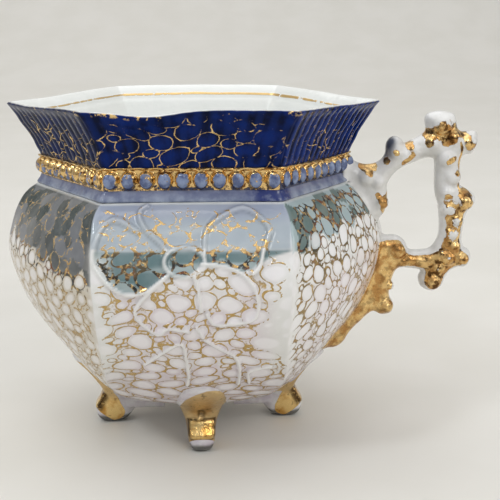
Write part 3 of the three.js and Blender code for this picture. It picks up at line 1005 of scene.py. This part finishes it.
# Outline of the twig handle: distance from the bowl's axis, height
TWIG_OUTLINE = [
    (36, 72), (40.4, 71.6), (44.8, 70.4), (48.1, 71.0), (50.0, 73), (50.3, 75.8), (51.3, 77.4),
    (52.9, 77.8), (54.4, 77.0), (55.3, 75.9), (57, 76.7), (58.8, 77.6), (60.6, 79.1), (60.3, 81.9),
    (61.0, 83.7), (64.3, 84.4), (67.4, 83.8), (68.5, 82.3), (68.8, 80.0), (70.4, 78.8), (73.2, 79.2),
    (74.4, 77.9), (74.2, 75.2), (73, 73.1), (70.8, 72.6), (70.0, 70.6), (69.9, 68.6), (69.9, 65.9),
    (70.8, 64.3), (73.2, 63.0), (74.5, 61.2), (73.9, 59.1), (72.2, 57.2), (71.7, 54.1), (71.3, 50.4),
    (71.9, 48.0), (73.5, 46.9), (74.1, 44.8), (72.8, 42.9), (70.4, 42.1), (68.6, 41.2), (67.5, 39.6),
    (66.2, 36.9), (63.5, 35.6), (60.9, 36.8), (60.2, 39.2), (60.6, 41.3), (56.9, 42.0), (54.6, 42.0),
    (53.4, 40.4), (52.4, 36.6), (52.4, 34.2), (53.5, 31.9), (52.7, 29.6), (50.0, 29.1), (47.5, 30.0),
    (44.3, 27.4), (41.6, 24.6), (40, 21.9), (38.4, 20.4), (36, 19.8), (33, 21), (33, 30), (39, 42),
    (40, 55), (37, 64),
]
TWIG_GAP = [
    (49.6, 51.2), (44, 51), (43, 55), (49.1, 56.6), (50.6, 59.3), (50.9, 62.5), (50.8, 65.0),
    (52.1, 67.4), (54.4, 69.3), (57.2, 70.5), (60.3, 71.8), (62.6, 72.0), (63.4, 70.6), (63.6, 63.3),
    (64.8, 58.7), (65.2, 52.3), (64.4, 49.1), (62.8, 47.3), (59.4, 46.9), (57.2, 47.3), (56, 49.6),
    (53.6, 51.2),
]
# Buds on the twig's two faces: distance from the axis, height, radius
BUDS = [
    (44.8, 67.2, 2.4), (47.6, 66.0, 2.0), (52.6, 73.4, 1.9), (57.6, 74.2, 1.6), (64.4, 80.6, 2.7),
    (62.4, 76.2, 2.1), (67.3, 77.4, 2.2), (71.9, 76.2, 1.9), (66.2, 72.0, 2.4), (67.6, 67.2, 2.3),
    (66.6, 63.2, 1.9), (71.0, 60.6, 2.3), (67.2, 58.6, 2.1), (69.0, 55.2, 1.9), (68.0, 51.8, 2.0),
    (68.8, 48.2, 1.8), (67.2, 45.2, 2.3), (71.4, 44.6, 1.9), (64.6, 42.2, 1.9), (63.6, 38.6, 2.3),
    (53.8, 47.4, 2.4), (51.2, 32.0, 1.9), (49.0, 60.6, 1.9), (55.4, 44.2, 1.6), (52.0, 37.6, 1.2),
]
# Touches of gold and grey, and buds' crowns worn bare: distance from the axis, height, radius
GOLD_SPOTS = [
    (64.6, 79.6, 3.0), (61.2, 78.3, 1.6), (68.6, 79.4, 1.8), (72.0, 75.3, 1.6), (71, 77.6, 1.2),
    (45.8, 69.4, 1.8), (50.2, 71.6, 1.1), (52.6, 73.8, 1.1), (56.4, 75.4, 1.5), (61.0, 75.8, 1.1),
    (68.7, 68.2, 1.0), (66.0, 77.0, 1.8), (70.8, 62.8, 2.2), (71.6, 60, 1.8), (66.4, 62.2, 1.2),
]
GREY_SPOTS = [(50.6, 75.4, 1.5), (49.6, 73.2, 1.2), (51.5, 77.0, 1.0)]
WORN_CROWNS = [
    (66.4, 63.4, 1.1), (67.2, 58.6, 1.2), (69.0, 55.4, 1.0), (68.4, 51.6, 1.1), (67.2, 45.4, 1.0),
    (64.4, 42.4, 0.9), (71.6, 61.3, 0.7),
]
GOLD_STROKES = [
    [(54.8, 71.0), (57.0, 72.8)], [(66.2, 71.2), (67.8, 72.2)], [(43.6, 70.2), (46.8, 70.4)],
    [(47.9, 62.8), (49.1, 60.6), (49.9, 58.2)], [(50.6, 62.6), (49.6, 61.0), (49.9, 58.6)],
]
TWIG_LOW, TWIG_HIGH, TWIG_CELL = (30, 16), (79, 88), 0.25  # the grid its outline is measured on
TWIG_THICK = 3.1


def inside_distance(lines, low, high, cell):
    """A grid of distances inside closed outlines, taken even-odd, and negative outside them."""
    axes = [np.arange(a, b, cell) for a, b in zip(low, high)]
    grid = np.stack(np.meshgrid(*axes, indexing="ij"), -1).reshape(-1, 2)
    distance, crossings = np.full(len(grid), np.inf), np.zeros(len(grid), int)
    for line in lines:
        loop = curve([*line, line[0]], 6 * len(line))
        distance = np.minimum(distance, near(grid, loop))
        for (ax, ay), (bx, by) in zip(loop, loop[1:]):
            spans = (grid[:, 1] < ay) != (grid[:, 1] < by)
            at = ax + (grid[:, 1] - ay) / (by - ay if by != ay else 1) * (bx - ax)
            crossings += spans & (grid[:, 0] < at)
    distance = np.where(crossings % 2, distance, -distance)
    return distance.reshape(len(axes[0]), -1)


TWIG_DEPTH = inside_distance([TWIG_OUTLINE, TWIG_GAP], TWIG_LOW, TWIG_HIGH, TWIG_CELL)


def twig_depth(x, z):
    """How far inside the twig's outline a place is, smoothly between the grid's points."""
    i = np.clip((x - TWIG_LOW[0]) / TWIG_CELL, 0, TWIG_DEPTH.shape[0] - 1.001)
    k = np.clip((z - TWIG_LOW[1]) / TWIG_CELL, 0, TWIG_DEPTH.shape[1] - 1.001)
    a, b = i.astype(int), k.astype(int)
    u, v = i - a, k - b
    lower = TWIG_DEPTH[a, b] * (1 - u) + TWIG_DEPTH[a + 1, b] * u
    upper = TWIG_DEPTH[a, b + 1] * (1 - u) + TWIG_DEPTH[a + 1, b + 1] * u
    return lower * (1 - v) + upper * v


def twig(p):
    """Distance outside the handle: its outline rounded over, with buds on both faces."""
    x, y, z = p.T
    bend = 0.3 * np.sin(z / 5.2) + 0.2 * np.sin(x / 4.1)
    y = (y - bend) * 0.9
    out = np.hypot(np.maximum(TWIG_THICK - twig_depth(x, z), 0), y) - TWIG_THICK
    for bud_x, bud_z, radius in BUDS:
        ball = np.sqrt((x - bud_x) ** 2 + (z - bud_z) ** 2 + (np.abs(y) - 2.0) ** 2) - radius
        out = soft_min(out, ball, 0.5)
    return out + 0.12 * ripple(51, *p.T, scale=1.3)


def handle_masks(x, z):
    """Where the twig is gilt, grey and worn."""
    def spots(places):
        return sum(np.exp(-(((x - a) / r) ** 2) - ((z - b) / r) ** 2) for a, b, r in places)

    flat = np.stack([x, z], 1)
    drawn = sum(bell(near(flat, np.array(line)), 0.85) for line in GOLD_STROKES)
    touches = 0.95 * (spots(GOLD_SPOTS) + 1.1 * drawn)
    creases = bell(x - 69.6 + 0.25 * np.sin(z), 0.4) * ramp(63, 65, z) * ramp(78, 76, z)
    low_edge = 3.5 * ramp(56, 60, x)
    lower = ramp(51.5 - low_edge, 50 - low_edge, z) * ramp(74, 70, x + 0.25 * (45 - z))
    grip = ramp(63.5, 65.5, x) * ramp(65, 58, z) * 0.72
    tail = ramp(43.5, 42, z) * ramp(58, 55, x)
    depth = twig_depth(x, z)
    gilt = np.maximum(lower, grip) * ramp(0.5, 1.5, depth)
    gilt = np.maximum(gilt, tail * ramp(-0.2, 0.5, depth))
    gilt = np.maximum(gilt, np.maximum(touches, creases)) - 0.38 * spots(WORN_CROWNS)
    return {"gilt": np.clip(gilt, 0, 1), "grey": np.clip(spots(GREY_SPOTS), 0, 1),
            "worn": 0.38 + 0.57 * ramp(58, 63, x)}


def handle():
    """The twig handle, its root and tail run into the wall."""
    def field(p):
        return run_into_wall(twig(p), body_field(p), blend=1.8, reach=1.2, sunk=0.5)

    points, faces = surface_net(field, [32, -7, 16], [76.5, 7, 86], cell=0.4)
    return make_mesh("handle_twig", points, faces, handle_masks(points[:, 0], points[:, 2]))


def handle_paint():
    paint = Paint("gilt_twig")
    patch = paint.noise(0.55, 5.0, 0.62)
    glaze = paint.cloud(0.18, (0.64, 0.63, 0.60), (0.80, 0.79, 0.77))
    glaze = paint.mix(paint.mask("grey"), glaze, (0.10, 0.11, 0.14))
    gold = paint.step(paint.plus(paint.times(paint.mask("gilt"), 0.8), patch), 0.90, 0.97)
    tan = paint.step(paint.noise(0.32, 4.0), 0.42, 0.60)
    metal = paint.mix(paint.times(tan, 0.85), gold_colour(paint), (0.44, 0.215, 0.062))
    dark = paint.times(paint.step(paint.noise(0.6, 4.0), 0.49, 0.61), paint.mask("worn"))
    metal = paint.mix(dark, metal, (0.09, 0.036, 0.008))
    paint.gild(gold, glaze, metal, paint.step(patch, 0.3, 0.7, 0.16, 0.36))
    paint.bump(paint.plus(gold, paint.times(patch, 2.0)), 0.1)
    return paint.material


# ---- assembly

def place_piece(piece, material, slot, *nodes):
    piece.data.materials.append(material)
    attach(piece, "root")
    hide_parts(*nodes)


place_piece(bowl(), bowl_paint(), "decorated_porcelain", "bowl")
place_piece(neck_moulding(), neck_paint(), "violet_glaze", "neck_moulding")
place_piece(bead_band(), bead_paint(), "gilt_beading", "bead_band")
place_piece(collar(), collar_paint(), "cobalt_glaze", "collar")
gilt_feet = foot_paint()
for quarter, side in enumerate(["right", "back", "left", "front"]):
    place_piece(foot(side, quarter), gilt_feet, "gilt_feet", f"foot_{side}")
place_piece(handle(), handle_paint(), "gilt_twig", "handle")


# ---- stage, light and camera

def floor():
    """A pale sheet that runs back and up behind the mug in one sweep."""
    depth, bend, height, width = 0.9, 0.7, 1.8, 2.4
    turn = np.linspace(0, math.pi / 2, 20)
    y = np.r_[-1.4, depth + bend * np.sin(turn), depth + bend]
    z = np.r_[0, bend * (1 - np.cos(turn)), height]
    points = [(x, b, c) for b, c in zip(y, z) for x in (-width, width)]
    faces = [(2 * i, 2 * i + 1, 2 * i + 3, 2 * i + 2) for i in range(len(y) - 1)]
    mesh = bpy.data.meshes.new("studio_floor")
    mesh.from_pydata(points, [], faces)
    mesh.shade_smooth()
    sheet = bpy.data.objects.new("studio_floor", mesh)
    bpy.context.scene.collection.objects.link(sheet)
    paint = Paint("pale_floor", ior=1.4)
    tone = paint.step(paint.noise(0.02, 3.0), 0.3, 0.7)
    colour = paint.mix(tone, (0.69, 0.67, 0.615), (0.72, 0.70, 0.65))
    paint.set(Base_Color=colour, Roughness=paint.blend(tone, 0.42, 0.5))
    mesh.materials.append(paint.material)


def softbox(name, at, size, power, colour):
    """An area light aimed at the middle of the mug."""
    lamp = bpy.data.lights.new(name, "AREA")
    lamp.shape, lamp.size, lamp.size_y = "RECTANGLE", *size
    lamp.energy, lamp.color = power, colour
    holder = bpy.data.objects.new(name, lamp)
    holder.location = at
    aim = np.array([0, 0, 0.05]) - np.array(at)
    across = math.hypot(aim[0], aim[1])
    holder.rotation_euler = (math.atan2(across, -aim[2]), 0, math.atan2(-aim[0], aim[1]))
    bpy.context.scene.collection.objects.link(holder)


CAMERA_FROM_BOWL = np.array([0.0063, -0.2572, 0.10836])  # metres from the foot of the bowl's axis
CAMERA_TURN = (76.664, 0.214, -1.827)  # degrees about X, Y and Z
FOCAL_LENGTH = 70.68  # millimetres, on a sensor 36 mm wide


def camera():
    """Looks at the mug from a little above its rim, square to the front panel."""
    lens = bpy.data.cameras.new("camera")
    lens.lens, lens.sensor_width = FOCAL_LENGTH, 36.0
    holder = bpy.data.objects.new("camera", lens)
    holder.location = AXIS * MM + CAMERA_FROM_BOWL
    holder.rotation_euler = [math.radians(a) for a in CAMERA_TURN]
    bpy.context.scene.collection.objects.link(holder)
    bpy.context.scene.camera = holder


def paint_sky(tree):
    """Soft light that is dim at the horizon and brightens towards the ceiling."""
    direction = tree.nodes.new("ShaderNodeTexCoord").outputs["Generated"]
    height = tree.nodes.new("ShaderNodeSeparateXYZ")
    tree.links.new(direction, height.inputs[0])
    strength = tree.nodes.new("ShaderNodeMapRange")
    tree.links.new(height.outputs["Z"], strength.inputs["Value"])
    for socket, value in {"From Min": 0.05, "From Max": 0.7, "To Min": 0.22, "To Max": 0.8}.items():
        strength.inputs[socket].default_value = value
    tree.links.new(strength.outputs["Result"], tree.nodes["Background"].inputs["Strength"])


floor()
softbox("key", (0.38, -0.75, 0.62), (0.3, 0.4), 1.8, (1.0, 0.985, 0.96))
softbox("window", (-0.5, -0.42, 0.72), (0.1, 0.16), 1.4, (0.88, 0.94, 1.0))
softbox("low_fill", (0.62, -0.1, 0.26), (0.3, 0.2), 0.5, (1.0, 0.99, 0.97))
softbox("ceiling", (-0.35, 0.35, 1.6), (2.4, 2.0), 14.5, (1.0, 0.99, 0.97))
world = bpy.data.worlds.new("soft_room")
world.use_nodes = True
world.node_tree.nodes["Background"].inputs["Color"].default_value = (0.95, 0.965, 1.0, 1)
paint_sky(world.node_tree)
bpy.context.scene.world = world
bpy.context.scene.view_settings.view_transform = "Standard"
camera()
